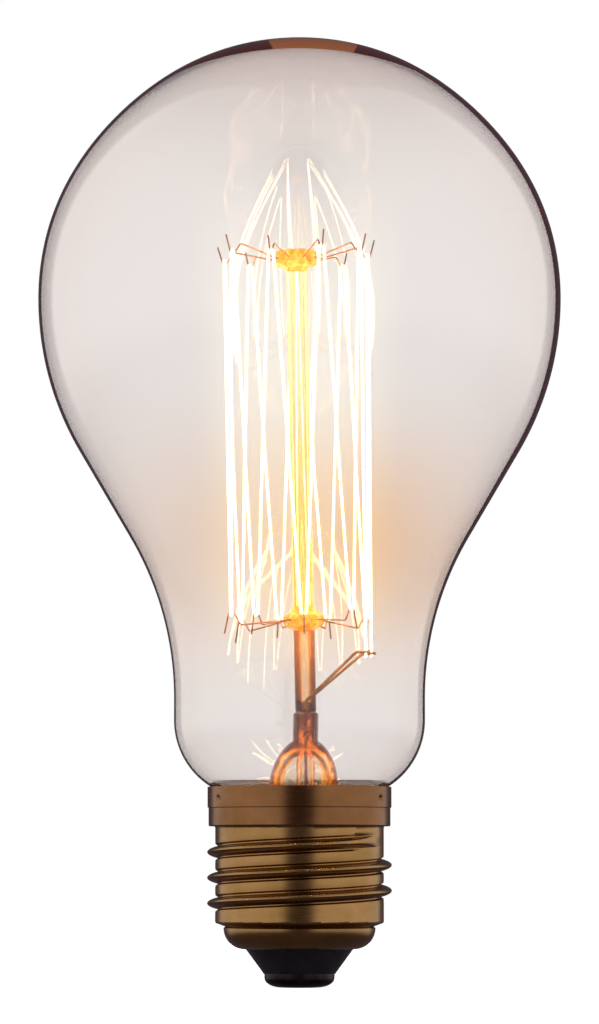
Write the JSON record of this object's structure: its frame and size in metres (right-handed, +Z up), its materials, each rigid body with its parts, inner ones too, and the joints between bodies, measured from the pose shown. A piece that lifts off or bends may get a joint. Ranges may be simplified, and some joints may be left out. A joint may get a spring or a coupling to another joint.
{
  "type": "filament bulb",
  "caption": "Clear pear-shaped filament bulb with a squirrel-cage filament strung on wire hooks round a glass rod, on an aged brass screw cap.",
  "frame": {"origin": "lowest point of the centre contact, on the cap's axis", "axes": "+Z up the cap's axis from the contact to the crown of the glass; -Y is the pictured front, and the side lead is soldered to the rim at +Y"},
  "size_m": [0.075, 0.075, 0.1359],
  "materials": {
    "clear_glass": "clear blown glass",
    "stem_glass": "clear drawn and pressed glass, warm in the filament's light",
    "bead_glass": "melted glass, warm in the filament's light",
    "hook_wire": "drawn molybdenum wire",
    "filament_wire": "coiled tungsten wire, alight",
    "lead_wire": "drawn nickel wire",
    "copper_clad": "copper-clad wire, red under glass",
    "copper_wire": "drawn copper wire",
    "aged_brass": "rolled brass sheet, dulled and stained",
    "black_glass": "moulded black glass",
    "dark_brass": "pressed brass, tarnished",
    "solder": "frozen solder",
    "cement": "baked basing cement"
  },
  "bodies": {
    "root": {"glass_envelope": "clear_glass", "stem_flare": "stem_glass", "exhaust_tube": "stem_glass", "centre_rod": "stem_glass", "upper_bead": "bead_glass", "lower_bead": "bead_glass", "upper_hook_1": "hook_wire", "upper_hook_2": "hook_wire", "upper_hook_3": "hook_wire", "upper_hook_4": "hook_wire", "upper_hook_5": "hook_wire", "upper_hook_6": "hook_wire", "upper_hook_7": "hook_wire", "upper_hook_8": "hook_wire", "upper_hook_9": "hook_wire", "lower_hook_1": "hook_wire", "lower_hook_2": "hook_wire", "lower_hook_3": "hook_wire", "lower_hook_4": "hook_wire", "lower_hook_5": "hook_wire", "lower_hook_6": "hook_wire", "lower_hook_7": "hook_wire", "lower_hook_8": "hook_wire", "filament": "filament_wire", "lead_front": "lead_wire", "lead_back": "lead_wire", "sealed_lead_front": "copper_clad", "sealed_lead_back": "copper_clad", "centre_outer_lead": "copper_wire", "side_outer_lead": "copper_wire", "screw_shell": "aged_brass", "shell_insulator": "black_glass", "contact_plate": "dark_brass", "contact_solder": "solder", "side_solder": "solder", "basing_cement": "cement"}
  },
  "joints": []
}
